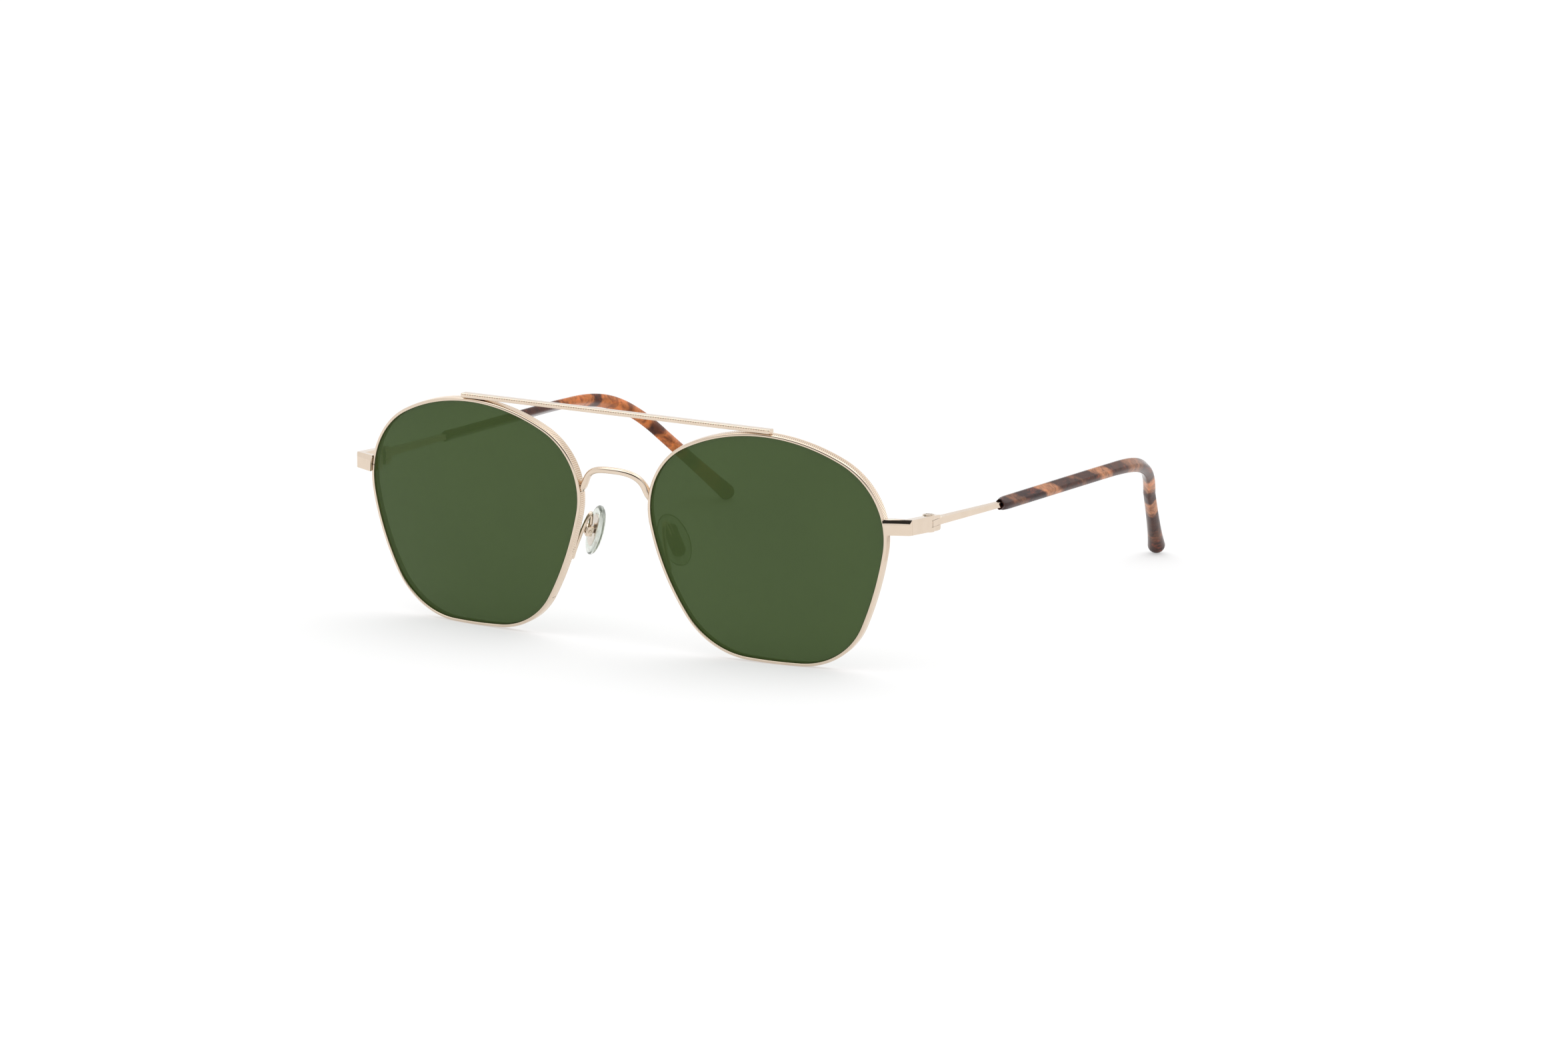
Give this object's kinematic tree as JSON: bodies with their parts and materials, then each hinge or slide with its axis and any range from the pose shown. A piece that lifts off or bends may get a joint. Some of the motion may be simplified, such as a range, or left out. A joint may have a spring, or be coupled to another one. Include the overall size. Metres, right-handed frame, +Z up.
{
  "type": "aviator sunglasses",
  "caption": "Wire-frame aviator sunglasses with dark green lenses, straight brow bar, arched bridge, adjustable nose pads and folding temples with bent tips.",
  "frame": {"origin": "on the floor, below the middle of the whole object's width and depth, with the temples open", "axes": "+X towards the wearer's left, +Y from the lenses back along the temples, +Z up"},
  "size_m": [0.1388, 0.1444, 0.0507],
  "materials": {
    "polished_gold": "polished pale champagne gold",
    "screw_metal": "polished, slightly darker pale gold",
    "pad_metal": "satin silvery metal",
    "lens_glass": "polished, dark grey-green tint",
    "clear_pad": "clear, faintly green, glossy",
    "tortoiseshell": "glossy brown tortoiseshell with amber bands"
  },
  "bodies": {
    "front": {"lens_left": "lens_glass", "lens_right": "lens_glass", "rim_left": "polished_gold", "rim_right": "polished_gold", "brow_bar": "polished_gold", "bridge": "polished_gold", "endpiece_left": "polished_gold", "endpiece_right": "polished_gold", "closing_blocks_upper": "polished_gold", "closing_blocks_lower": "polished_gold", "closing_screws": "screw_metal", "pad_arm_left": "polished_gold", "pad_arm_right": "polished_gold", "pad_box_left": "polished_gold", "pad_box_right": "polished_gold", "pad_screws": "screw_metal", "hinge_screws": "screw_metal"},
    "temple_left": {"temple_left": "polished_gold", "temple_tip_left": "tortoiseshell"},
    "temple_right": {"temple_right": "polished_gold", "temple_tip_right": "tortoiseshell"},
    "pad_left": {"pad_core_left": "pad_metal", "nose_pad_left": "clear_pad"},
    "pad_right": {"pad_core_right": "pad_metal", "nose_pad_right": "clear_pad"}
  },
  "joints": [
    {"name": "fold_left", "type": "hinge", "parent": "front", "child": "temple_left", "pos_m": [0.0663, -0.05497, 0.0313], "axis": [0, 0, 1], "range_deg": [0, 86]},
    {"name": "fold_right", "type": "hinge", "parent": "front", "child": "temple_right", "pos_m": [-0.0663, -0.05497, 0.0313], "axis": [0, 0, -1], "range_deg": [0, 80]},
    {"name": "pad_left_tilt", "type": "hinge", "parent": "front", "child": "pad_left", "pos_m": [0.01045, -0.06332, 0.0229], "axis": [0.7255, 0.5875, 0.3584], "range_deg": [-8, 8]},
    {"name": "pad_right_tilt", "type": "hinge", "parent": "front", "child": "pad_right", "pos_m": [-0.01045, -0.06332, 0.0229], "axis": [-0.7255, 0.5875, 0.3584], "range_deg": [-8, 8]}
  ]
}
